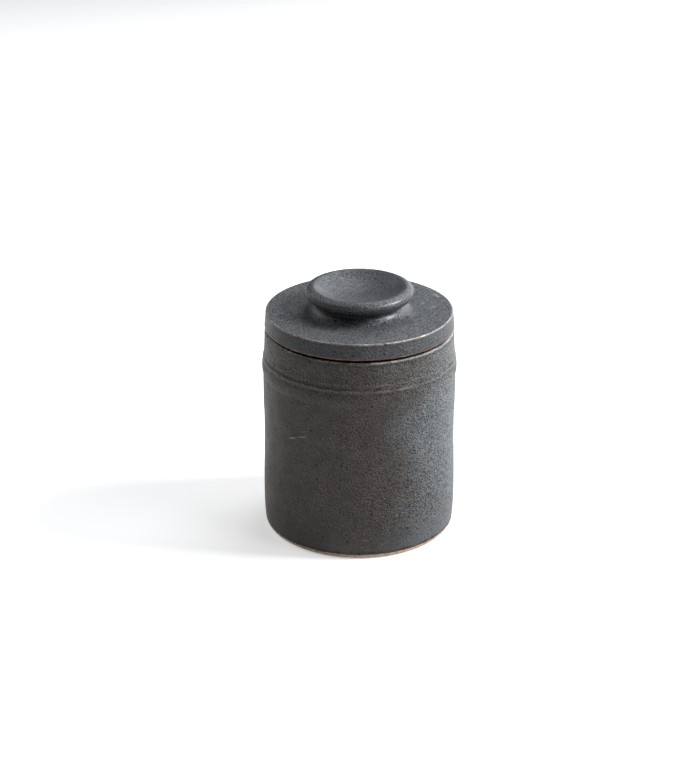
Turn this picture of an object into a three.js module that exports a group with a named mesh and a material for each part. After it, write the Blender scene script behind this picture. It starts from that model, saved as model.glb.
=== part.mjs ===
// A stoneware butter keeper: a water crock and a lid that carries an upturned butter bell.
//
// Units are millimetres and +Z is up. The origin is the centre of the foot, on the table.
// Everything is thrown on a wheel, so each piece is one closed profile of (radius, height)
// points spun about Z. The lid is made of three thrown pieces, a plate, a dished knob and a
// bell, which are luted together leather-hard and lift off the crock as one.

import * as THREE from "three";

// Smoothness
const SEGMENTS = 64; // facets round each turned piece
const ROUND_STEPS = 4; // facets along an edge rounding or a fillet
const SWEEP_STEPS = 6; // facets along a bead or a longer curve

// Crock wall
const RIM_RADIUS = 48.5; // outside of the wall at the rim
const CROCK_HEIGHT = 109.6; // table to the land that the lid sits on
const WALL = 4.6; // thickness of the wall at the rim
const SEAT_RISE = 1.8; // rim's outer shoulder up to the land
const SEAT_SET_IN = 2.5; // outside of the land inside the outside of the wall
const CHANNEL_DROP = 0.5; // shoulder down to the bottom of the channel beside the land
const RIM_OUTER_ROUND = 1.1; // rounding of the outer shoulder
const RIM_INNER_ROUND = 0.9; // rounding of the rim's inner edge
const BASE_SWELL = 1.7; // how far the wall stands out past the rim where it is fullest
const BASE_HEIGHT = 14; // where it is fullest, above the table
const WAIST_SWELL = 0.95; // how far it stands out at its waist
const WAIST_DROP = 10; // shelf of the band down to the waist

// Thrown band round the shoulder, from the neck under the rim down to the shelf
const NECK_TALL = 13; // rim down to the crease that ends the band
const UPPER_BEAD_TALL = 2.7; // crease to fold
const LOWER_BEAD_TALL = 2.6; // fold to groove
const SHOULDER_TALL = 6.7; // groove to the underside of the soft shoulder
const SHELF_TALL = 15.6; // shoulder to the end of the shelf
const CREASE_SWELL = 0.45; // how far each stands out past the rim
const UPPER_BEAD_SWELL = 0.8;
const FOLD_SWELL = 1;
const LOWER_BEAD_SWELL = 1.42;
const GROOVE_SWELL = 1.55;
const SHOULDER_SWELL = 1.7;
const SHELF_SWELL = 1.3;

// Crock foot and floor
const FLOOR = 6.5; // thickness of the floor, from the table to the inside
const FLOOR_COVE = 6; // radius between the floor and the bore
const FOOT_TUCK_IN = 2.7; // how far the wall tucks in from its fullest to the foot
const FOOT_TAPER = 1; // the part of that which lies above the rounding
const FOOT_TUCK_UP = 2.2; // height of the rounding
const FOOT_RING = 10; // width of the flat ring that stands on the table
const RECESS_DEPTH = 1.5; // hollow trimmed out of the foot inside the ring
const RECESS_SLOPE = 1.2; // run of the recess's sloping edge

// Lid plate
const LID_INSET = 0.05; // lid's edge inside the rim's outside
const PLATE = 8.15; // thickness of the plate
const PLATE_DRAFT = 0.6; // how far its side leans in towards the top
const PLATE_TOP_ROUND = 0.8; // rounding of its top edge
const PLATE_BOTTOM_ROUND = 0.45; // rounding of its lower edge

// Knob
const FINGER_GAP = 4.15; // plate up to the neck where it is narrowest, at the knob's joint
const LIP_UNDER = 5.55; // joint up to where the lip is fullest
const LIP_TOP = 2.9; // fullest part of the lip up to its crest
const KNOB_RADIUS = 27.5; // lip where it is fullest
const LIP_CREST_IN = 4; // crest inside that radius
const NECK_RADIUS = 22; // neck at the joint
const NECK_COVE = 5.8; // how far the cove at the neck's foot spreads on the plate
const UNDER_OPENING = 3; // run and rise of the underside's first, flatter part
const UNDER_RISE = 1.2;
const UNDER_TURN = 2.6; // height over which the underside turns upright at the lip
const DISH_ROLL = 2; // how far the crest rolls level into the dish
const DISH_FLAT = 16; // reach of the dish's flat middle
const KNOB_FLOOR = 1.95; // clay between the joint and the middle of the dish

// Butter bell
const BELL_CLEARANCE = 7.2; // room for water between the bell's mouth and the bore
const BELL_LIFT = 27; // crock's floor to the bell's mouth
const BELL_WALL = 4.4; // thickness of the bell
const BELL_FLARE = 0.6; // how far it widens from the plate to the mouth
const BELL_OUTER_FILLET = 3; // luting coil outside, where the bell meets the plate
const BELL_INNER_FILLET = 6; // luting coil inside
const FILLET_EDGE = 0.3; // blunt edge that each coil ends in

// Sizes worked out from those above
const BORE_RADIUS = RIM_RADIUS - WALL;
const LAND_OUTER = RIM_RADIUS - Math.min(SEAT_SET_IN, 0.6 * WALL);
const RIM_OUTER_DROP = Math.min(RIM_OUTER_ROUND, 0.6 * (RIM_RADIUS - LAND_OUTER));
const RIM_INNER_DROP = Math.min(RIM_INNER_ROUND, 0.6 * (LAND_OUTER - BORE_RADIUS));
const RIM_SHOULDER = CROCK_HEIGHT - SEAT_RISE;
const CREASE = CROCK_HEIGHT - NECK_TALL;
const FOLD = CREASE - UPPER_BEAD_TALL;
const GROOVE = FOLD - LOWER_BEAD_TALL;
const SHOULDER = GROOVE - SHOULDER_TALL;
const SHELF = SHOULDER - SHELF_TALL;
const WAIST = SHELF - WAIST_DROP;
const BASE_RADIUS = RIM_RADIUS + BASE_SWELL;
const FOOT_RADIUS = BASE_RADIUS - FOOT_TUCK_IN;
const LID_RADIUS = RIM_RADIUS - LID_INSET;
const JOINT_HEIGHT = PLATE + FINGER_GAP;
const LIP_FULLEST = JOINT_HEIGHT + LIP_UNDER;
const CREST = LIP_FULLEST + LIP_TOP;
const BELL_RADIUS = BORE_RADIUS - BELL_CLEARANCE;
const BELL_LENGTH = CROCK_HEIGHT - FLOOR - BELL_LIFT;

function pathFrom(radius, height) {
  return new THREE.Path().moveTo(radius, height);
}

// Adds a quarter of an ellipse to a profile. It sets off along the radius where `first` is
// "across" and along the height where it is "up", and ends at (radius, height).
function quarterTo(profile, first, radius, height) {
  const from = profile.currentPoint.clone();
  const handle = 0.5523; // makes a Bezier curve run as a quarter of an ellipse
  const across = (radius - from.x) * handle;
  const up = (height - from.y) * handle;
  if (first === "across") {
    profile.bezierCurveTo(from.x + across, from.y, radius, height - up, radius, height);
  } else {
    profile.bezierCurveTo(from.x, from.y + up, radius - across, height, radius, height);
  }
}

// Adds a soft step that starts and ends upright.
function stepTo(profile, radius, height) {
  const from = profile.currentPoint.clone();
  const middle = (from.y + height) / 2;
  profile.bezierCurveTo(from.x, middle, radius, middle, radius, height);
}

// Adds a bead that stands out to the radius `swell` halfway along.
function beadTo(profile, swell, radius, height) {
  const from = profile.currentPoint.clone();
  const third = (height - from.y) / 3;
  const reach = (8 * swell - from.x - radius) / 6; // where a Bezier curve's handles must be
  profile.bezierCurveTo(reach, from.y + third, reach, height - third, radius, height);
}

// Spins a profile, given as stretches of [path, steps along each of its curves].
function turned(name, color, roughness, stretches) {
  const points = [];
  for (const [path, steps] of stretches) {
    for (const point of path.getPoints(steps)) {
      const repeated = points.length > 0 && points.at(-1).distanceTo(point) < 1e-6;
      if (!repeated) points.push(point);
    }
  }
  const geometry = new THREE.LatheGeometry(points, SEGMENTS);
  geometry.rotateX(Math.PI / 2);
  const material = new THREE.MeshStandardMaterial({ color, roughness, metalness: 0 });
  const mesh = new THREE.Mesh(geometry, material);
  mesh.name = name;
  return mesh;
}

// The crock: trimmed foot, full wall, thrown band, plain bore, and a rim with a flat land for
// the lid inside a channel and a rounded shoulder.
function crock() {
  const foot = pathFrom(0, RECESS_DEPTH);
  foot.lineTo(FOOT_RADIUS - FOOT_RING - RECESS_SLOPE, RECESS_DEPTH);
  foot.lineTo(FOOT_RADIUS - FOOT_RING, 0);
  foot.lineTo(FOOT_RADIUS, 0);
  quarterTo(foot, "across", BASE_RADIUS - FOOT_TAPER, FOOT_TUCK_UP);

  const wall = pathFrom(BASE_RADIUS - FOOT_TAPER, FOOT_TUCK_UP);
  const taperMiddle = (FOOT_TUCK_UP + BASE_HEIGHT) / 2;
  wall.quadraticCurveTo(BASE_RADIUS, taperMiddle, BASE_RADIUS, BASE_HEIGHT);
  stepTo(wall, RIM_RADIUS + WAIST_SWELL, WAIST);
  stepTo(wall, RIM_RADIUS + SHELF_SWELL, SHELF);

  const band = pathFrom(RIM_RADIUS + SHELF_SWELL, SHELF);
  band.lineTo(RIM_RADIUS + SHELF_SWELL, SHOULDER);
  beadTo(band, RIM_RADIUS + SHOULDER_SWELL, RIM_RADIUS + GROOVE_SWELL, GROOVE);
  beadTo(band, RIM_RADIUS + LOWER_BEAD_SWELL, RIM_RADIUS + FOLD_SWELL, FOLD);
  beadTo(band, RIM_RADIUS + UPPER_BEAD_SWELL, RIM_RADIUS + CREASE_SWELL, CREASE);

  const rim = pathFrom(RIM_RADIUS + CREASE_SWELL, CREASE);
  rim.lineTo(RIM_RADIUS, RIM_SHOULDER - RIM_OUTER_DROP);
  quarterTo(rim, "up", RIM_RADIUS - RIM_OUTER_DROP, RIM_SHOULDER);
  rim.lineTo(LAND_OUTER, RIM_SHOULDER - CHANNEL_DROP);
  rim.lineTo(LAND_OUTER, CROCK_HEIGHT);
  rim.lineTo(BORE_RADIUS + RIM_INNER_DROP, CROCK_HEIGHT);
  quarterTo(rim, "across", BORE_RADIUS, CROCK_HEIGHT - RIM_INNER_DROP);

  const inside = pathFrom(BORE_RADIUS, CROCK_HEIGHT - RIM_INNER_DROP);
  inside.lineTo(BORE_RADIUS, FLOOR + FLOOR_COVE);
  quarterTo(inside, "up", BORE_RADIUS - FLOOR_COVE, FLOOR);
  inside.lineTo(0, FLOOR);

  return turned("crock", 0x3f4142, 0.5, [
    [foot, ROUND_STEPS],
    [wall, ROUND_STEPS],
    [band, SWEEP_STEPS],
    [rim, ROUND_STEPS],
    [inside, ROUND_STEPS],
  ]);
}

// The plate: flat underside, crisp edge, and the cove that runs up into the knob's neck.
function lidPlate() {
  const topRadius = LID_RADIUS - PLATE_DRAFT;
  const edge = pathFrom(0, 0);
  edge.lineTo(LID_RADIUS - PLATE_BOTTOM_ROUND, 0);
  quarterTo(edge, "across", LID_RADIUS, PLATE_BOTTOM_ROUND);
  edge.lineTo(topRadius, PLATE - PLATE_TOP_ROUND);
  quarterTo(edge, "up", topRadius - PLATE_TOP_ROUND, PLATE);

  const cove = pathFrom(topRadius - PLATE_TOP_ROUND, PLATE);
  cove.lineTo(NECK_RADIUS + NECK_COVE, PLATE);
  quarterTo(cove, "across", NECK_RADIUS, JOINT_HEIGHT);
  cove.lineTo(0, JOINT_HEIGHT);

  return turned("lid_plate", 0x4a4d4f, 0.5, [
    [edge, ROUND_STEPS],
    [cove, SWEEP_STEPS],
  ]);
}

// The knob: it opens like a bowl from its neck to a thick rolled lip round a shallow dish.
function lidKnob() {
  const crestRadius = KNOB_RADIUS - LIP_CREST_IN;
  const dishBottom = JOINT_HEIGHT + KNOB_FLOOR;

  const under = pathFrom(0, JOINT_HEIGHT);
  under.lineTo(NECK_RADIUS, JOINT_HEIGHT);
  under.bezierCurveTo(
    NECK_RADIUS + UNDER_OPENING,
    JOINT_HEIGHT + UNDER_RISE,
    KNOB_RADIUS,
    LIP_FULLEST - UNDER_TURN,
    KNOB_RADIUS,
    LIP_FULLEST,
  );

  const lip = pathFrom(KNOB_RADIUS, LIP_FULLEST);
  quarterTo(lip, "up", crestRadius, CREST);

  // Both handles lie level, so the lip rolls into the dish and the dish is flat at its middle.
  const dish = pathFrom(crestRadius, CREST);
  dish.bezierCurveTo(crestRadius - DISH_ROLL, CREST, DISH_FLAT, dishBottom, 0, dishBottom);

  return turned("lid_knob", 0x4d5153, 0.45, [
    [under, SWEEP_STEPS],
    [lip, SWEEP_STEPS],
    [dish, SWEEP_STEPS],
  ]);
}

// The bell: an open-ended tube luted under the plate, with a full round lip at its mouth.
function butterBell() {
  const mouthInner = BELL_RADIUS - BELL_WALL;
  const topOuter = BELL_RADIUS - BELL_FLARE;
  const topInner = topOuter - BELL_WALL;
  const lipRound = BELL_WALL / 2;
  const coilInner = topInner - BELL_INNER_FILLET;
  const coilOuter = topOuter + BELL_OUTER_FILLET;

  const profile = pathFrom(mouthInner, lipRound - BELL_LENGTH);
  quarterTo(profile, "up", mouthInner + lipRound, -BELL_LENGTH);
  quarterTo(profile, "across", BELL_RADIUS, lipRound - BELL_LENGTH);
  profile.lineTo(topOuter, -BELL_OUTER_FILLET - FILLET_EDGE);
  quarterTo(profile, "up", coilOuter, -FILLET_EDGE);
  profile.lineTo(coilOuter, 0);
  profile.lineTo(coilInner, 0);
  profile.lineTo(coilInner, -FILLET_EDGE);
  quarterTo(profile, "across", topInner, -BELL_INNER_FILLET - FILLET_EDGE);
  profile.lineTo(mouthInner, lipRound - BELL_LENGTH);

  return turned("butter_bell", 0x3d3f40, 0.55, [[profile, ROUND_STEPS]]);
}

const lid = new THREE.Group();
lid.position.z = CROCK_HEIGHT;
lid.add(lidPlate(), lidKnob(), butterBell());

const butterKeeper = new THREE.Group();
butterKeeper.add(crock(), lid);

export default butterKeeper;
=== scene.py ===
import math

import bpy
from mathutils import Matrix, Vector
from mathutils.geometry import interpolate_bezier


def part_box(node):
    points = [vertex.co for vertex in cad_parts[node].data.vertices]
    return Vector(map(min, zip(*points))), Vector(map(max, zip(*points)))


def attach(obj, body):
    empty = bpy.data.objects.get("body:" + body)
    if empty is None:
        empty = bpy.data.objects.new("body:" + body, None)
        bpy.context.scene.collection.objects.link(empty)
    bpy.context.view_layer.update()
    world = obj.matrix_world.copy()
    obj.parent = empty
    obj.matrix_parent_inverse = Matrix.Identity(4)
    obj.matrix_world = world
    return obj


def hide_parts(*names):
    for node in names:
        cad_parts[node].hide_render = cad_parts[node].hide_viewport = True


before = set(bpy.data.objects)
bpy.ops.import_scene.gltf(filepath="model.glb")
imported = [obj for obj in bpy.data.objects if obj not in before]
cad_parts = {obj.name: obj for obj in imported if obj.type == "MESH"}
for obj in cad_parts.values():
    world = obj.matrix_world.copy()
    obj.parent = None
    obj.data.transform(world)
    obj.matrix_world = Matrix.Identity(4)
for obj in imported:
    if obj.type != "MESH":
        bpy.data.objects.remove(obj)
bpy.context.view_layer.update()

# The butter keeper is thrown on a wheel, so each piece is a profile of (radius, height)
# points, drawn by extruding one vertex and spun about Z. Lengths are in metres.
MM = 0.001

# Taken from the frame
BASE_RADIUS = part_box("crock")[1].x
RIM_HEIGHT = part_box("crock")[1].z
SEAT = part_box("lid_plate")[0].z
LID_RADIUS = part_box("lid_plate")[1].x
JOINT_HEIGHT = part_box("lid_plate")[1].z
KNOB_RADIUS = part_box("lid_knob")[1].x
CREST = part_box("lid_knob")[1].z
BELL_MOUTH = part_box("butter_bell")[0].z

# Crock
RIM_RADIUS = LID_RADIUS + 0.05 * MM
WALL = 4.6 * MM
SEAT_RISE = 1.55 * MM
SEAT_SET_IN = 2.5 * MM
CHANNEL_DROP = 0.5 * MM
RIM_OUTER_ROUND = 1.1 * MM
RIM_INNER_ROUND = 0.9 * MM
BASE_HEIGHT = 14 * MM
WAIST_SWELL = 0.95 * MM
WAIST_DROP = 10 * MM
NECK_TALL = 11.6 * MM
UPPER_BEAD_TALL = 3.4 * MM
LOWER_BEAD_TALL = 2.9 * MM
SHOULDER_TALL = 7.3 * MM
SHELF_TALL = 15.4 * MM
CREASE_SWELL = 0.38 * MM
UPPER_BEAD_SWELL = 0.54 * MM
FOLD_SWELL = 0.68 * MM
LOWER_BEAD_SWELL = 1.14 * MM
GROOVE_SWELL = 1.2 * MM
SHOULDER_SWELL = 1.7 * MM
SHELF_SWELL = 1.2 * MM
FLOOR = 6.5 * MM
FLOOR_COVE = 6 * MM
BORE_RING_PITCH = 6.5 * MM
BORE_RING_DEPTH = 0.28 * MM
FOOT_TUCK_IN = 2.7 * MM
FOOT_TAPER = 0.6 * MM
FOOT_TUCK_UP = 2.2 * MM
FOOT_RING = 10 * MM
RECESS_DEPTH = 1.5 * MM
RECESS_SLOPE = 1.2 * MM

# Lid
PLATE = 8.15 * MM
PLATE_DRAFT = 0.6 * MM
PLATE_TOP_ROUND = 0.8 * MM
PLATE_BOTTOM_ROUND = 0.25 * MM
LIP_TOP = 2.9 * MM
LIP_CREST_IN = 4 * MM
NECK_RADIUS = 22 * MM
NECK_COVE = 5.8 * MM
UNDER_OPENING = 3 * MM
UNDER_RISE = 1.2 * MM
UNDER_TURN = 2.6 * MM
KNOB_FLOOR = 1.95 * MM
DISH_ROLL = 2 * MM
DISH_FLAT = 16 * MM
BELL_RADIUS = 36.7 * MM
BELL_WALL = 4.4 * MM
BELL_FLARE = 0.6 * MM
BELL_OUTER_FILLET = 3 * MM
BELL_INNER_FILLET = 6 * MM
BELL_RING_PITCH = 6 * MM
BELL_OUTER_RING_DEPTH = 0.12 * MM
BELL_INNER_RING_DEPTH = 0.2 * MM
FILLET_EDGE = 0.3 * MM

# Waver of the hand: how far apart its swells lie and how deep they are. It fades out
# over the margin beside a level face.
CROCK_WAVER = (34 * MM, 0.16 * MM)
FINGER_WAVER = (9 * MM, 0.06 * MM)
PLATE_WAVER = (30 * MM, 0.14 * MM)
KNOB_WAVER = (22 * MM, 0.12 * MM)
BELL_WAVER = (30 * MM, 0.25 * MM)
FLAT_MARGIN = 4 * MM

# Throwing rings: how much their widths and depths swing, and how fast from ring to ring
RING_WIDTH_SWING = 0.35
RING_WIDTH_TURN = 2.4
RING_DEPTH_SWING = 0.3
RING_DEPTH_TURN = 1.7

# Fineness of the thrown surfaces
SPIN_STEPS = 160
STRAIGHT_STEP = 1.2 * MM
RING_STEPS = 6
ARC_STEPS = 7
ROUND_STEPS = 10
LIP_STEPS = 12
SWEEP_STEPS = 12
UNDER_STEPS = 16
DISH_STEPS = 28
WAIST_STEPS = 30
WELD = 0.004 * MM
SMOOTH_ANGLE = 32

# The handle that makes a curve a quarter of a circle, as a share of the radius
QUARTER_HANDLE = 0.5523


def deselect_all():
    if bpy.context.object and bpy.context.object.mode != "OBJECT":
        bpy.ops.object.mode_set(mode="OBJECT")
    bpy.ops.object.select_all(action="DESELECT")


def line_to(profile, radius, height):
    """A straight stretch, in short steps so that it can be softened later."""
    r0, z0 = profile[-1]
    steps = max(1, round(math.hypot(radius - r0, height - z0) / STRAIGHT_STEP))
    for i in range(1, steps + 1):
        share = i / steps
        profile.append((r0 + (radius - r0) * share, z0 + (height - z0) * share))


def curve_to(profile, handle_a, handle_b, end, steps=SWEEP_STEPS):
    knots = [Vector((r, z, 0)) for r, z in (profile[-1], handle_a, handle_b, end)]
    points = interpolate_bezier(*knots, steps + 1)
    profile.extend((p.x, p.y) for p in points[1:])


def quarter_to(profile, first, radius, height, steps=ARC_STEPS):
    """A quarter of an ellipse that sets off across (along the radius) or up."""
    r0, z0 = profile[-1]
    across, up = (radius - r0) * QUARTER_HANDLE, (height - z0) * QUARTER_HANDLE
    if first == "across":
        curve_to(profile, (r0 + across, z0), (radius, height - up), (radius, height), steps)
    else:
        curve_to(profile, (r0, z0 + up), (radius - across, height), (radius, height), steps)


def step_to(profile, radius, height, steps=SWEEP_STEPS):
    """A soft step that starts and ends upright."""
    r0, z0 = profile[-1]
    middle = (z0 + height) / 2
    curve_to(profile, (r0, middle), (radius, middle), (radius, height), steps)


def bead_to(profile, swell, radius, height, steps=SWEEP_STEPS):
    """A bead that stands out to the radius `swell` halfway along."""
    r0, z0 = profile[-1]
    third = (height - z0) / 3
    # Halfway along, a curve is an eighth of its two ends and three eighths of its two handles
    reach = (8 * swell - r0 - radius) / 6
    curve_to(profile, (reach, z0 + third), (reach, height - third), (radius, height), steps)


def rings_to(profile, radius, height, pitch, depth):
    """Throwing rings: a row of low beads of uneven width and depth up or down a wall."""
    r0, z0 = profile[-1]
    count = max(1, round(abs(height - z0) / pitch))
    edges = [0.0]
    for i in range(count):
        edges.append(edges[-1] + 1 + RING_WIDTH_SWING * math.sin(RING_WIDTH_TURN * i))
    for i in range(1, count + 1):
        share = edges[i] / edges[-1]
        r = r0 + (radius - r0) * share
        shallower = RING_DEPTH_SWING * (1 - math.cos(RING_DEPTH_TURN * i))
        swell = (profile[-1][0] + r) / 2 - depth * (1 - shallower)
        bead_to(profile, swell, r, z0 + (height - z0) * share, RING_STEPS)


def throw(name, profile):
    """Draws a profile by extruding one vertex from point to point, and spins it about Z."""
    deselect_all()
    first = profile[0]
    bpy.ops.mesh.primitive_plane_add(size=MM, location=(first[0], 0, first[1]))
    piece = bpy.context.object
    piece.name = name
    bpy.ops.object.transform_apply(location=True, rotation=False, scale=False)
    bpy.ops.object.mode_set(mode="EDIT")
    bpy.ops.mesh.merge(type="CENTER")
    for (r0, z0), (r1, z1) in zip(profile, profile[1:]):
        bpy.ops.mesh.extrude_vertices_move(
            TRANSFORM_OT_translate={"value": (r1 - r0, 0, z1 - z0)}
        )
    bpy.ops.mesh.select_all(action="SELECT")
    bpy.ops.mesh.spin(steps=SPIN_STEPS, angle=math.tau, center=(0, 0, 0), axis=(0, 0, 1))
    bpy.ops.mesh.select_all(action="SELECT")
    bpy.ops.mesh.remove_doubles(threshold=WELD)
    bpy.ops.mesh.normals_make_consistent(inside=False)
    bpy.ops.object.mode_set(mode="OBJECT")
    return piece


def soften(piece, name, size, depth, flats):
    """Lets a surface waver inwards, as by hand, except near the level faces in `flats`."""
    group = piece.vertex_groups.new(name=name)
    for vertex in piece.data.vertices:
        away = min(abs(vertex.co.z - height) for height in flats)
        group.add([vertex.index], min(1, away / FLAT_MARGIN), "REPLACE")
    clouds = bpy.data.textures.new(name, "CLOUDS")
    clouds.noise_scale = size
    clouds.noise_depth = 1
    waver = piece.modifiers.new(name, "DISPLACE")
    waver.texture = clouds
    waver.texture_coords = "LOCAL"
    waver.mid_level = 1
    waver.strength = depth
    waver.vertex_group = name
    bpy.ops.object.modifier_apply(modifier=name)


def fire(piece, body, node, material):
    """Gives a finished piece its shading, its glaze and its place in the frame."""
    bpy.ops.object.shade_smooth_by_angle(angle=math.radians(SMOOTH_ANGLE))
    piece.data.materials.append(material)
    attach(piece, body)
    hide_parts(node)


# Materials


def linear(red, green, blue):
    """A colour as read off a screen, 0 to 255, as the shader wants it."""
    out = []
    for value in (red, green, blue):
        share = value / 255
        out.append(share / 12.92 if share <= 0.04045 else ((share + 0.055) / 1.055) ** 2.4)
    return (*out, 1)


# Glaze and clay
CROCK_COOL = linear(73, 76, 78)
CROCK_WARM = linear(52, 48, 45)
PLATE_COOL = linear(70, 75, 80)
PLATE_WARM = linear(84, 86, 88)
KNOB_COOL = linear(68, 73, 78)
KNOB_WARM = linear(73, 75, 78)
BLACK = (0, 0, 0, 1)
IRON = linear(112, 89, 64)
PIT = linear(12, 10, 9)
# Pale: painted highlights on edges and marks, where the glaze also breaks pale
PALE_BREAK_AND_HIGHLIGHT = linear(160, 160, 158)
POOLED_AND_CREASE_SHADE = linear(24, 23, 23)
# Pooled: dark glaze in flaws and creases; in the creases it is also painted shade
WORN = linear(92, 60, 42)
CHALKY = linear(172, 160, 150)
RUSTY = linear(190, 128, 84)
CLAY_DARK = linear(162, 138, 114)
CLAY_PALE = linear(198, 178, 156)
CLAY_SPECK = linear(88, 58, 40)

# Coat: its weight and its roughness. Grit: the shares of the orange peel and of the grain.
# Painted light: how much lighter the upper wall and the east side are painted.
CROCK_COAT = (0.3, 0.42)
PLATE_COAT = (0.4, 0.32)
KNOB_COAT = (0.4, 0.3)
CROCK_GRIT = (1.25, 1.05)
PLATE_GRIT = (0.6, 0.9)
KNOB_GRIT = (0.5, 0.75)
BELL_GRIT = (1, 0.9)
CROCK_PAINTED_LIGHT = (1.17, 1.22)

# Noises: scale per metre, detail, roughness
CLOUDS = (24, 2, 0.5)
PATCHES = (14, 2, 0.5)
MOTTLE = (75, 4, 0.6)
GRAINS = (1300, 1, 0.5)
CROWDS = (60, 3, 0.6)
WAVERS = (260, 3, 0.5)
DASHES = (230, 2, 0.5)
BREAKS = (700, 3, 0.5)
CLAY_GRAIN = (900, 3, 0.5)
SATIN = (160, 4, 0.5)
PEEL = (420, 3, 0.5)
# The grain is a noise less a copy of it shifted east and up, so it shows as small bumps lit from
# the lamps: painted light and shade
GRAIN_LIGHT_SHIFT = (0.25 * MM, -0.1 * MM, 0.25 * MM)
WAVER_REACH = 0.7 * MM

# Spans: where in its noise a pattern starts and is full, then the least and most it gives
MOTTLE_SPAN = (0.25, 0.75, 0.95, 1.05)
PATCH_SPAN = (0.35, 0.65, 0.7, 1.0)
CROWD_SPAN = (0.35, 0.7)
DASH_SPAN = (0.4, 0.6, 0.7, 1.5)
BREAK_SPAN = (0.3, 0.65, 0.3, 1.0)
CLAY_SPAN = (0.3, 0.7)
SATIN_SPAN = (0.25, 0.75, 0.60, 0.76)

# Spots: cells per metre, radius as a share of a cell, shift
IRON_SPOTS = (900, 0.55)
SMALL_PITS = (620, 0.45, (0.3, 0.1, 0.2))
LARGE_PITS = (330, 0.34, (0.1, 0.2, 0.3))
CLAY_SPOTS = (520, 0.3)
SMALL_PIT_SHARE = 0.85

# The share of the way out to which a spot, a line or a mark shows in full
CORE = 0.3

# Warm zones: they gather to the west and lean east as they rise. So they also paint by side: on the
# crock the darker warm colour is painted shade on the west, and on the lid the lighter warm colour
# is painted light there.
CLOUD_SHARE = 0.6
ZONE_LEAN = 0.2
ZONE_PULL = 6.0
THIN_ZONE = (0.08, 0.35)

# Heights, and places east of the middle, between which the glaze changes, and its painted light and
# shade. Where four numbers stand, the last two are what it changes from and to.
FOOT_GRAIN = (6 * MM, 26 * MM, 0.35, 1.0)
UPPER_GRAIN = (82 * MM, 98 * MM)
UPPER_WALL = (80 * MM, 94 * MM)
LOWER_WALL = (40 * MM, 0)
EAST_SIDE = (12 * MM, 34 * MM)
WEST_SIDE = (10 * MM, -45 * MM, 0.13, 0.32)
WEST_TO_EAST = (-30 * MM, 25 * MM)

# Bands and lines: how soft their edges are, and what they are multiplied by in the west, where the
# painted shade is deeper and the painted highlights fainter
BAND_BLUR = 0.15 * MM
LEAST_BLUR = 0.3 * MM
SHADE_IN_WEST = 1.4
HIGHLIGHT_IN_WEST = 0.6

# The rusty flash between clay and glaze: how far wiped it lies, its spread and its share
FLASH_AT = 0.75
FLASH_SPREAD = (0.3, 0.1)
FLASH_SHARE = 0.6

# Grain: its middle brightness, the most that it departs from it, and its softness
GRAIN_MIDDLE = 1.1
GRAIN_LIMIT = 1.05
GRAIN_SPREAD = 0.15

# Surface
METALLIC = 0.7
GLAZE_IOR = 1.5
PEEL_RELIEF = 1.5
GRAIN_RELIEF = 0.4
RELIEF = 0.2 * MM
PIT_ROUGHER = 0.2
CLAY_ROUGHER = 0.35


class Recipe:
    """A material's nodes. Most calls add a node and return its first output."""

    def __init__(self, name):
        self.material = bpy.data.materials.new(name)
        self.material.use_nodes = True
        self.tree = self.material.node_tree
        self.tree.nodes.clear()
        self.object_at = self.node("ShaderNodeTexCoord").outputs["Object"]

    def node(self, kind, settings=None, **inputs):
        """Adds a node. An input goes by its name, with _ for a space, or as i0, i1 by its place."""
        made = self.tree.nodes.new(kind)
        for key, value in (settings or {}).items():
            setattr(made, key, value)
        for key, value in inputs.items():
            at = int(key[1:]) if key[0] == "i" and key[1:].isdigit() else key.replace("_", " ")
            self.give(made.inputs[at], value)
        return made

    def give(self, socket, value):
        if isinstance(value, bpy.types.NodeSocket):
            self.tree.links.new(value, socket)
        else:
            socket.default_value = value

    def math(self, operation, a, b=0.0):
        return self.node("ShaderNodeMath", {"operation": operation}, i0=a, i1=b).outputs[0]

    def times(self, a, b):
        return self.math("MULTIPLY", a, b)

    def length(self, vector):
        made = self.node("ShaderNodeVectorMath", {"operation": "LENGTH"}, i0=vector)
        return made.outputs["Value"]

    def noise(self, scale, detail, roughness, shift=(0, 0, 0)):
        at = self.node("ShaderNodeMapping", Vector=self.object_at, Location=shift).outputs[0]
        made = self.node(
            "ShaderNodeTexNoise", Vector=at, Scale=scale, Detail=detail, Roughness=roughness
        )
        return made.outputs[0]

    def spots(self, scale, radius, shift=(0, 0, 0)):
        """Round spots, one in each cell: 1 at the middle of a spot and 0 outside it."""
        at = self.node("ShaderNodeMapping", Vector=self.object_at, Location=shift).outputs[0]
        cells = self.node("ShaderNodeTexVoronoi", Vector=at, Scale=scale)
        size = self.node("ShaderNodeSeparateColor", Color=cells.outputs["Color"]).outputs[0]
        edge = self.times(self.math("POWER", size, 2.0), radius)
        return self.ramp(cells.outputs["Distance"], edge, self.times(edge, CORE))

    def ramp(self, value, low, high, to_low=0.0, to_high=1.0):
        """Runs smoothly from to_low to to_high as the value goes from low to high."""
        made = self.node(
            "ShaderNodeMapRange", {"interpolation_type": "SMOOTHSTEP"}, Value=value
        )
        for key, given in zip(("From Min", "From Max", "To Min", "To Max"),
                              (low, high, to_low, to_high)):
            self.give(made.inputs[key], given)
        return made.outputs[0]

    def fade(self, value, by, low, high, to_low=0.0, to_high=1.0):
        """The value times a ramp of another."""
        return self.times(value, self.ramp(by, low, high, to_low, to_high))

    def mix(self, share, a, b, blend="MIX"):
        made = self.node(
            "ShaderNodeMix", {"data_type": "RGBA", "blend_type": blend}, i0=share, i6=a, i7=b
        )
        return made.outputs[2]

    def grey(self, value):
        made = self.node("ShaderNodeCombineColor", Red=value, Green=value, Blue=value)
        return made.outputs[0]


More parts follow.
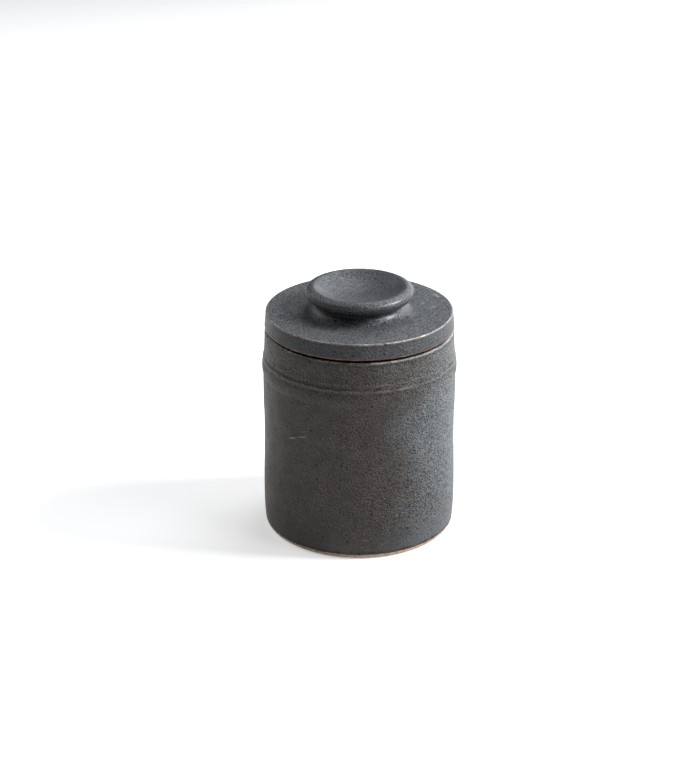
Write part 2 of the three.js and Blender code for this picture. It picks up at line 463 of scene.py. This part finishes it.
class Glaze(Recipe):
    """Satin charcoal glaze over brown stoneware, painted on step by step. East is +X."""

    def __init__(self, name):
        super().__init__(name)
        place = self.node("ShaderNodeSeparateXYZ", Vector=self.object_at).outputs
        self.east = place[0]
        self.height = place[2]
        flat = self.node("ShaderNodeMapping", Vector=self.object_at, Scale=(1, 1, 0)).outputs[0]
        self.radius = self.length(flat)
        self.to_east = self.ramp(self.east, *WEST_TO_EAST)
        waver = self.times(self.math("SUBTRACT", self.noise(*WAVERS), 0.5), WAVER_REACH)
        self.wavered = self.math("ADD", self.height, waver)
        dashes = self.ramp(self.noise(*DASHES), *DASH_SPAN)
        self.broken = self.times(self.ramp(self.noise(*BREAKS), *BREAK_SPAN), dashes)
        self.wiped = None

    def paint(self, share, color, blend="MIX"):
        """Lays a colour over what is there, by this share."""
        self.color = self.mix(share, self.color, color, blend)

    def zones(self, cool, warm):
        """The cool colour, which turns to the warm one in zones where the coat lies thin; as the
        zones gather to the west, they also paint light and shade by side.
        """
        cloud = self.times(self.noise(*CLOUDS), CLOUD_SHARE)
        across = self.math("SUBTRACT", self.east, self.times(self.height, ZONE_LEAN))
        zone = self.math("SUBTRACT", cloud, self.times(across, ZONE_PULL))
        self.thin = self.ramp(zone, *THIN_ZONE)
        self.color = self.mix(self.thin, cool, warm)

    def grain(self, share, upper, eastern):
        """Fine grains that come in patches, over a soft mottle. The grains' light and dark sides
        are painted light and shade on small bumps, and the mottle is painted lighter on the upper
        wall and the east side.
        """
        mottle = self.ramp(self.noise(*MOTTLE), *MOTTLE_SPAN)
        # Painted light: the mottle is lighter to the east and on the upper wall
        mottle = self.fade(mottle, self.east, *EAST_SIDE, 1.0, eastern)
        mottle = self.fade(mottle, self.height, *UPPER_WALL, 1.0, upper)
        strength = self.times(self.ramp(self.noise(*PATCHES), *PATCH_SPAN), share)
        strength = self.fade(strength, self.height, *FOOT_GRAIN)
        strength = self.fade(strength, self.height, *UPPER_GRAIN, 1.0, upper)
        strength = self.math("MINIMUM", strength, GRAIN_LIMIT)
        lit_slopes = self.math("SUBTRACT", self.noise(*GRAINS), self.noise(*GRAINS, GRAIN_LIGHT_SHIFT))
        darkest = self.math("SUBTRACT", GRAIN_MIDDLE, strength)
        lightest = self.math("ADD", GRAIN_MIDDLE, strength)
        self.grains = self.ramp(lit_slopes, -GRAIN_SPREAD, GRAIN_SPREAD, darkest, lightest)
        self.paint(1.0, self.grey(self.times(self.grains, mottle)), "MULTIPLY")

    def paint_foot_shade(self):
        """Painted shade: darkens the lower wall, more so to the west, away from the lamps."""
        west = self.ramp(self.east, *WEST_SIDE)
        self.paint(self.fade(west, self.height, *LOWER_WALL), BLACK)

    def specks(self):
        """Iron specks, in crowds where the coat is thin, and black pits all over."""
        crowd = self.ramp(self.noise(*CROWDS), *CROWD_SPAN)
        self.paint(self.times(self.spots(*IRON_SPOTS), self.times(crowd, self.thin)), IRON)
        small = self.times(self.spots(*SMALL_PITS), SMALL_PIT_SHARE)
        self.pits = self.math("MAXIMUM", small, self.spots(*LARGE_PITS))
        self.paint(self.pits, PIT)

    def band(self, low, high, least):
        """1 between two heights, outside the least radius."""
        over = self.ramp(self.wavered, low - BAND_BLUR, low + BAND_BLUR)
        under = self.ramp(self.wavered, high + BAND_BLUR, high - BAND_BLUR)
        beyond = self.ramp(self.radius, least - LEAST_BLUR, least + LEAST_BLUR)
        return self.times(self.times(over, under), beyond)

    def shade(self, low, high, least, share):
        """A band painted darker, more so to the west: painted shade."""
        dim = self.band(low, high, least)
        in_west = share * SHADE_IN_WEST
        self.paint(self.fade(dim, self.east, *WEST_TO_EAST, in_west, share), BLACK)

    def ring(self, at_radius, at_height, reach, color, share):
        """A line round the piece that falls off to nothing at its reach, and is broken up.

        The pale ones are fainter to the west."""
        across = self.math("POWER", self.math("SUBTRACT", self.radius, at_radius), 2.0)
        along = self.math("POWER", self.math("SUBTRACT", self.wavered, at_height), 2.0)
        away = self.math("SQRT", self.math("ADD", across, along))
        line = self.times(self.ramp(away, reach, reach * CORE), self.broken)
        line = self.times(line, share)
        # Pale lines are painted highlights, so they are fainter to the west, away from the lamps
        if color == PALE_BREAK_AND_HIGHLIGHT:
            line = self.fade(line, self.to_east, 0, 1, HIGHLIGHT_IN_WEST, 1.0)
        self.paint(line, color)

    def mark(self, azimuth, radius, height, tilt, size, color, share):
        """A small oval mark at this azimuth, sized (outwards, around, up) from its middle. Most are
        flaws; the pale ones on the lid are painted highlights.
        """
        turn = math.radians(azimuth)
        at = self.node(
            "ShaderNodeMapping",
            {"vector_type": "TEXTURE"},
            Vector=self.object_at,
            Location=(radius * math.cos(turn), radius * math.sin(turn), height),
            Rotation=(math.radians(tilt), 0, turn),
            Scale=size,
        ).outputs[0]
        oval = self.times(self.ramp(self.length(at), 1.0, CORE), self.broken)
        self.paint(self.times(oval, share), color)

    def wipe(self, bands):
        """Bare clay in the bands where the glaze is wiped off, with a rusty flash at the edge."""
        self.wiped = 0.0
        for band in bands:
            self.wiped = self.math("MAXIMUM", self.wiped, self.band(*band))
        clay = self.mix(self.ramp(self.noise(*CLAY_GRAIN), *CLAY_SPAN), CLAY_DARK, CLAY_PALE)
        self.paint(self.wiped, self.mix(self.spots(*CLAY_SPOTS), clay, CLAY_SPECK))
        from_edge = self.math("ABSOLUTE", self.math("SUBTRACT", self.wiped, FLASH_AT))
        self.paint(self.times(self.ramp(from_edge, *FLASH_SPREAD), FLASH_SHARE), RUSTY)

    def surface(self, coat, peel_share):
        """A satin, uneven surface that is dull where it is bare."""
        metal = METALLIC
        rough = self.ramp(self.noise(*SATIN), *SATIN_SPAN)
        rough = self.math("ADD", rough, self.times(self.pits, PIT_ROUGHER))
        if self.wiped is not None:
            metal = self.ramp(self.wiped, 0, 1, METALLIC, 0)
            rough = self.math("ADD", rough, self.times(self.wiped, CLAY_ROUGHER))
        peel = self.times(self.noise(*PEEL), PEEL_RELIEF * peel_share)
        relief = self.math("ADD", peel, self.times(self.grains, GRAIN_RELIEF * peel_share))
        relief = self.math("SUBTRACT", relief, self.pits)
        bump = self.node("ShaderNodeBump", Strength=1.0, Distance=RELIEF, Height=relief)
        shader = self.node(
            "ShaderNodeBsdfPrincipled",
            Base_Color=self.color,
            Roughness=rough,
            Normal=bump.outputs[0],
            Metallic=metal,
            IOR=GLAZE_IOR,
            Coat_Weight=coat[0],
            Coat_Roughness=coat[1],
        )
        self.node("ShaderNodeOutputMaterial", Surface=shader.outputs[0])


def glaze(name, colors, coat, grit, painted_light=(1, 1), rings=(), bare=(), shaded=(), marks=()):
    """The glaze of one piece, between a cool and a warm colour.

    Rings are (radius, height, reach, colour, share): pale lines, painted highlights on edges where
    the glaze also breaks pale; brown lines where it wears; dark lines, painted shade in creases
    where the glaze also pools. Bands are (low, high, least radius): the glaze is wiped off the bare
    ones, and the shaded ones are painted darker by a share, as painted shade. Marks are (azimuth,
    radius, height, tilt, size, colour, share): small flaws of the firing, and a few pale ones that
    are painted highlights."""
    peel_share, grain_share = grit
    work = Glaze(name)
    work.zones(*colors)
    work.grain(grain_share, *painted_light)
    work.paint_foot_shade()
    work.specks()
    for band in shaded:
        work.shade(*band)
    for ring in rings:
        work.ring(*ring)
    for mark in marks:
        work.mark(*mark)
    if bare:
        work.wipe(bare)
    work.surface(coat, peel_share)
    return work.material


# Pieces


def crock():
    bore = RIM_RADIUS - WALL
    crease = RIM_HEIGHT - NECK_TALL
    fold = crease - UPPER_BEAD_TALL
    groove = fold - LOWER_BEAD_TALL
    shoulder = groove - SHOULDER_TALL
    shelf = shoulder - SHELF_TALL
    foot = BASE_RADIUS - FOOT_TUCK_IN
    rim_shoulder = RIM_HEIGHT - SEAT_RISE
    land = RIM_RADIUS - SEAT_SET_IN

    profile = [(0, RECESS_DEPTH)]
    line_to(profile, foot - FOOT_RING - RECESS_SLOPE, RECESS_DEPTH)
    line_to(profile, foot - FOOT_RING, 0)
    line_to(profile, foot, 0)
    quarter_to(profile, "across", BASE_RADIUS - FOOT_TAPER, FOOT_TUCK_UP, ROUND_STEPS)
    taper_knee = FOOT_TUCK_UP + (BASE_HEIGHT - FOOT_TUCK_UP) / 2
    curve_to(
        profile,
        (BASE_RADIUS - FOOT_TAPER / 3, FOOT_TUCK_UP + (taper_knee - FOOT_TUCK_UP) * 2 / 3),
        (BASE_RADIUS, taper_knee - (taper_knee - BASE_HEIGHT) / 3),
        (BASE_RADIUS, BASE_HEIGHT),
    )
    step_to(profile, RIM_RADIUS + WAIST_SWELL, shelf - WAIST_DROP, WAIST_STEPS)
    step_to(profile, RIM_RADIUS + SHELF_SWELL, shelf)
    line_to(profile, RIM_RADIUS + SHELF_SWELL, shoulder)
    bead_to(profile, RIM_RADIUS + SHOULDER_SWELL, RIM_RADIUS + GROOVE_SWELL, groove)
    bead_to(profile, RIM_RADIUS + LOWER_BEAD_SWELL, RIM_RADIUS + FOLD_SWELL, fold)
    bead_to(profile, RIM_RADIUS + UPPER_BEAD_SWELL, RIM_RADIUS + CREASE_SWELL, crease)
    line_to(profile, RIM_RADIUS, rim_shoulder - RIM_OUTER_ROUND)
    quarter_to(profile, "up", RIM_RADIUS - RIM_OUTER_ROUND, rim_shoulder)
    line_to(profile, land, rim_shoulder - CHANNEL_DROP)
    line_to(profile, land, RIM_HEIGHT)
    line_to(profile, bore + RIM_INNER_ROUND, RIM_HEIGHT)
    quarter_to(profile, "across", bore, RIM_HEIGHT - RIM_INNER_ROUND)
    rings_to(profile, bore, FLOOR + FLOOR_COVE, BORE_RING_PITCH, -BORE_RING_DEPTH)
    quarter_to(profile, "up", bore - FLOOR_COVE, FLOOR)
    line_to(profile, 0, FLOOR)
    piece = throw("thrown_crock", profile)
    soften(piece, "hand_waver", *CROCK_WAVER, (0, RIM_HEIGHT))
    soften(piece, "finger_waver", *FINGER_WAVER, (0, RIM_HEIGHT))

    bare = [(-1 * MM, 2.35 * MM, 0), (RIM_HEIGHT - 0.2 * MM, RIM_HEIGHT + MM, bore)]
    # Pale rings are painted highlights on the rim shoulder and the bead edges, where the glaze also
    # breaks pale
    rings = [
        (RIM_RADIUS - 0.7 * MM, rim_shoulder, 1.2 * MM, PALE_BREAK_AND_HIGHLIGHT, 1.0),
        (RIM_RADIUS, rim_shoulder - 1.6 * MM, 0.7 * MM, POOLED_AND_CREASE_SHADE, 0.5),
        (RIM_RADIUS + UPPER_BEAD_SWELL, crease - 1.8 * MM, 0.8 * MM, PALE_BREAK_AND_HIGHLIGHT, 0.08),
        (RIM_RADIUS + LOWER_BEAD_SWELL, fold - 1.5 * MM, 0.9 * MM, PALE_BREAK_AND_HIGHLIGHT, 0.18),
        # The dark rings under the rim shoulder, in the groove and above the foot are painted shade,
        # where the glaze also pools
        (RIM_RADIUS + GROOVE_SWELL, groove - 0.2 * MM, 0.9 * MM, POOLED_AND_CREASE_SHADE, 0.25),
        (BASE_RADIUS - FOOT_TAPER, FOOT_TUCK_UP + 0.9 * MM, 1.2 * MM, POOLED_AND_CREASE_SHADE, 0.8),
    ]
    marks = [
        (-133, RIM_RADIUS, 62.0 * MM, 17, (3 * MM, 4.6 * MM, 0.5 * MM), CHALKY, 0.6),
        (-126, RIM_RADIUS, 64.4 * MM, 17, (3 * MM, 4.4 * MM, 0.45 * MM), CHALKY, 0.6),
        (-130, RIM_RADIUS, 64.9 * MM, 17, (3 * MM, 7.5 * MM, 0.8 * MM), POOLED_AND_CREASE_SHADE, 0.6),
        (-120, RIM_RADIUS, 66.1 * MM, -35, (3 * MM, 1.8 * MM, 0.6 * MM), POOLED_AND_CREASE_SHADE, 1.2),
        (-68, RIM_RADIUS, 23.2 * MM, 15, (4 * MM, 1.0 * MM, 0.4 * MM), RUSTY, 0.9),
        (-66, RIM_RADIUS, 22.3 * MM, 40, (4 * MM, 1.1 * MM, 0.5 * MM), POOLED_AND_CREASE_SHADE, 0.9),
    ]
    material = glaze(
        "crock_glaze",
        (CROCK_COOL, CROCK_WARM),
        coat=CROCK_COAT,
        grit=CROCK_GRIT,
        painted_light=CROCK_PAINTED_LIGHT,
        rings=rings,
        bare=bare,
        marks=marks,
    )
    fire(piece, "crock", "crock", material)


def lid_plate():
    top = LID_RADIUS - PLATE_DRAFT
    plate_top = SEAT + PLATE
    profile = [(0, SEAT)]
    line_to(profile, LID_RADIUS - PLATE_BOTTOM_ROUND, SEAT)
    quarter_to(profile, "across", LID_RADIUS, SEAT + PLATE_BOTTOM_ROUND)
    line_to(profile, top, plate_top - PLATE_TOP_ROUND)
    quarter_to(profile, "up", top - PLATE_TOP_ROUND, plate_top)
    line_to(profile, NECK_RADIUS + NECK_COVE, plate_top)
    quarter_to(profile, "across", NECK_RADIUS, JOINT_HEIGHT, ROUND_STEPS)
    line_to(profile, 0, JOINT_HEIGHT)
    piece = throw("thrown_plate", profile)
    soften(piece, "hand_waver", *PLATE_WAVER, (SEAT, JOINT_HEIGHT))

    # The pale ring is a painted highlight on the top edge, where the glaze also breaks pale
    rings = [
        (top - 0.5 * MM, plate_top - 0.1 * MM, 0.7 * MM, PALE_BREAK_AND_HIGHLIGHT, 0.8),
        (top, plate_top - 0.95 * MM, 0.45 * MM, WORN, 0.8),
        (top, plate_top - 1.5 * MM, 0.7 * MM, POOLED_AND_CREASE_SHADE, 0.35),
        (LID_RADIUS, SEAT + 0.4 * MM, 0.5 * MM, WORN, 0.9),
    ]
    bare = [(SEAT - MM, SEAT + 0.1 * MM, RIM_RADIUS - WALL)]
    # Painted shade on the side of the lid
    shaded = [(SEAT, plate_top - MM, top - 0.3 * MM, 0.5)]
    # The pale marks near the knob are painted highlights; the others are flaws
    marks = [
        (3, 37.5 * MM, plate_top, 0, (2.6 * MM, 0.9 * MM, 2 * MM), CHALKY, 0.8),
        (13, 33.4 * MM, plate_top, 0, (1.6 * MM, 1.4 * MM, 2 * MM), PALE_BREAK_AND_HIGHLIGHT, 0.6),
        (25, 43.8 * MM, plate_top, 0, (1.2 * MM, 4.5 * MM, 2 * MM), CHALKY, 0.7),
        (37, 45.8 * MM, plate_top, 0, (1.0 * MM, 3.6 * MM, 2 * MM), CHALKY, 0.6),
        (-37, 31.2 * MM, plate_top, 0, (3.4 * MM, 3.8 * MM, 2 * MM), POOLED_AND_CREASE_SHADE, 0.5),
        (-19, 28 * MM, plate_top, 0, (2.4 * MM, 6 * MM, 2 * MM), PALE_BREAK_AND_HIGHLIGHT, 0.25),
    ]
    material = glaze(
        "plate_glaze",
        (PLATE_COOL, PLATE_WARM),
        coat=PLATE_COAT,
        grit=PLATE_GRIT,
        rings=rings,
        bare=bare,
        shaded=shaded,
        marks=marks,
    )
    fire(piece, "lid", "lid_plate", material)


def lid_knob():
    crest_radius = KNOB_RADIUS - LIP_CREST_IN
    fullest = CREST - LIP_TOP
    dish = JOINT_HEIGHT + KNOB_FLOOR
    profile = [(0, JOINT_HEIGHT)]
    line_to(profile, NECK_RADIUS, JOINT_HEIGHT)
    curve_to(
        profile,
        (NECK_RADIUS + UNDER_OPENING, JOINT_HEIGHT + UNDER_RISE),
        (KNOB_RADIUS, fullest - UNDER_TURN),
        (KNOB_RADIUS, fullest),
        UNDER_STEPS,
    )
    quarter_to(profile, "up", crest_radius, CREST, LIP_STEPS)
    curve_to(profile, (crest_radius - DISH_ROLL, CREST), (DISH_FLAT, dish), (0, dish), DISH_STEPS)
    piece = throw("thrown_knob", profile)
    soften(piece, "hand_waver", *KNOB_WAVER, (JOINT_HEIGHT,))

    # A painted glint in the dish
    marks = [(120, 18.6 * MM, CREST - 3.4 * MM, 0, (0.9 * MM, 2.2 * MM, 3 * MM), PALE_BREAK_AND_HIGHLIGHT, 0.5)]
    # Painted shade under the knob, round its neck
    shaded = [(JOINT_HEIGHT - MM, JOINT_HEIGHT + 2.6 * MM, NECK_RADIUS - MM, 0.5)]
    material = glaze(
        "knob_glaze",
        (KNOB_COOL, KNOB_WARM),
        coat=KNOB_COAT,
        grit=KNOB_GRIT,
        shaded=shaded,
        marks=marks,
    )
    fire(piece, "lid", "lid_knob", material)


def butter_bell():
    mouth_inner = BELL_RADIUS - BELL_WALL
    top_outer = BELL_RADIUS - BELL_FLARE
    top_inner = top_outer - BELL_WALL
    lip = BELL_WALL / 2
    profile = [(mouth_inner, BELL_MOUTH + lip)]
    quarter_to(profile, "up", mouth_inner + lip, BELL_MOUTH)
    quarter_to(profile, "across", BELL_RADIUS, BELL_MOUTH + lip)
    fillet_foot = SEAT - BELL_OUTER_FILLET - FILLET_EDGE
    rings_to(profile, top_outer, fillet_foot, BELL_RING_PITCH, BELL_OUTER_RING_DEPTH)
    quarter_to(profile, "up", top_outer + BELL_OUTER_FILLET, SEAT - FILLET_EDGE)
    line_to(profile, top_outer + BELL_OUTER_FILLET, SEAT)
    line_to(profile, top_inner - BELL_INNER_FILLET, SEAT)
    line_to(profile, top_inner - BELL_INNER_FILLET, SEAT - FILLET_EDGE)
    quarter_to(profile, "across", top_inner, SEAT - BELL_INNER_FILLET - FILLET_EDGE)
    rings_to(profile, mouth_inner, BELL_MOUTH + lip, BELL_RING_PITCH, -BELL_INNER_RING_DEPTH)
    piece = throw("thrown_bell", profile)
    soften(piece, "hand_waver", *BELL_WAVER, (SEAT,))

    rings = [(mouth_inner + lip, BELL_MOUTH, MM, WORN, 0.9)]
    material = glaze(
        "bell_glaze", (CROCK_COOL, CROCK_WARM), coat=CROCK_COAT, grit=BELL_GRIT, rings=rings
    )
    fire(piece, "lid", "butter_bell", material)


# Stage

# Lamps: name, azimuth and elevation in degrees, distance, size, power in watts, colour
COOL = (0.97, 0.99, 1.02)
PLAIN = (1.0, 1.0, 1.0)
LAMPS = (
    ("key_softbox", 0, 38, 1.1, 0.36, 18.9, COOL),
    ("front_right_softbox", -30, 38, 1.1, 0.36, 3.0, COOL),
    ("right_window", 60, 10, 1.3, 0.9, 6.2, COOL),
    ("back_right_fill", 60, 55, 1.3, 0.9, 7.1, COOL),
    ("back_left_fill", 142, 30, 1.3, 0.9, 3.4, PLAIN),
    ("left_fill", 180, 55, 1.3, 0.9, 3.4, PLAIN),
)
WORLD_LIGHT = 0.02
TABLE_SIZE = 6
FLOOR_COLOR = (0.8, 0.8, 0.8, 1)
FLOOR_LIFT = 0.41
CAMERA_AT = (-4.8 * MM, -856.2 * MM, 459.0 * MM)
CAMERA_DOWN = 24.12
LENS = 85
SENSOR_WIDTH = 36


def seen_ray(recipe):
    """1 for what the camera sees, straight or in a reflection or through glass."""
    path = recipe.node("ShaderNodeLightPath").outputs
    seen = recipe.math("MAXIMUM", path["Is Camera Ray"], path["Is Glossy Ray"])
    return recipe.math("MAXIMUM", seen, path["Is Transmission Ray"])


def table():
    """A pale table that shows white where it is lit and keeps the shadow of the keeper."""
    deselect_all()
    bpy.ops.mesh.primitive_plane_add(size=TABLE_SIZE)
    top = bpy.context.object
    top.name = "table_top"
    white = Recipe("white_table")
    matt = white.node("ShaderNodeBsdfDiffuse", Color=FLOOR_COLOR).outputs[0]
    lift = white.times(seen_ray(white), FLOOR_LIFT)
    glow = white.node("ShaderNodeEmission", Strength=lift).outputs[0]
    both = white.node("ShaderNodeAddShader", i0=matt, i1=glow).outputs[0]
    white.node("ShaderNodeOutputMaterial", Surface=both)
    top.data.materials.append(white.material)


def dim_room():
    world = bpy.data.worlds.new("dim_room")
    world.use_nodes = True
    bpy.context.scene.world = world
    sky = world.node_tree.nodes["Background"]
    sky.inputs["Color"].default_value = (1, 1, 1, 1)
    sky.inputs["Strength"].default_value = WORLD_LIGHT


def softbox(name, azimuth, elevation, distance, size, power, color):
    azimuth, elevation = math.radians(azimuth), math.radians(elevation)
    toward = Vector(
        (
            math.cos(elevation) * math.cos(azimuth),
            math.cos(elevation) * math.sin(azimuth),
            math.sin(elevation),
        )
    )
    aim = Vector((0, 0, RIM_HEIGHT / 2))
    bpy.ops.object.light_add(type="AREA", location=aim + toward * distance)
    lamp = bpy.context.object
    lamp.name = name
    lamp.rotation_euler = toward.to_track_quat("Z", "Y").to_euler()
    lamp.data.size = size
    lamp.data.energy = power
    lamp.data.color = color


def camera():
    """A short telephoto that looks down on the keeper at 24 degrees."""
    bpy.ops.object.camera_add(
        location=CAMERA_AT,
        rotation=(math.radians(90 - CAMERA_DOWN), 0, 0),
    )
    shot = bpy.context.object
    shot.data.lens = LENS
    shot.data.sensor_width = SENSOR_WIDTH
    bpy.context.scene.camera = shot


crock()
lid_plate()
lid_knob()
butter_bell()
table()
dim_room()
deselect_all()
for lamp_setting in LAMPS:
    softbox(*lamp_setting)
camera()
bpy.context.scene.view_settings.view_transform = "Standard"
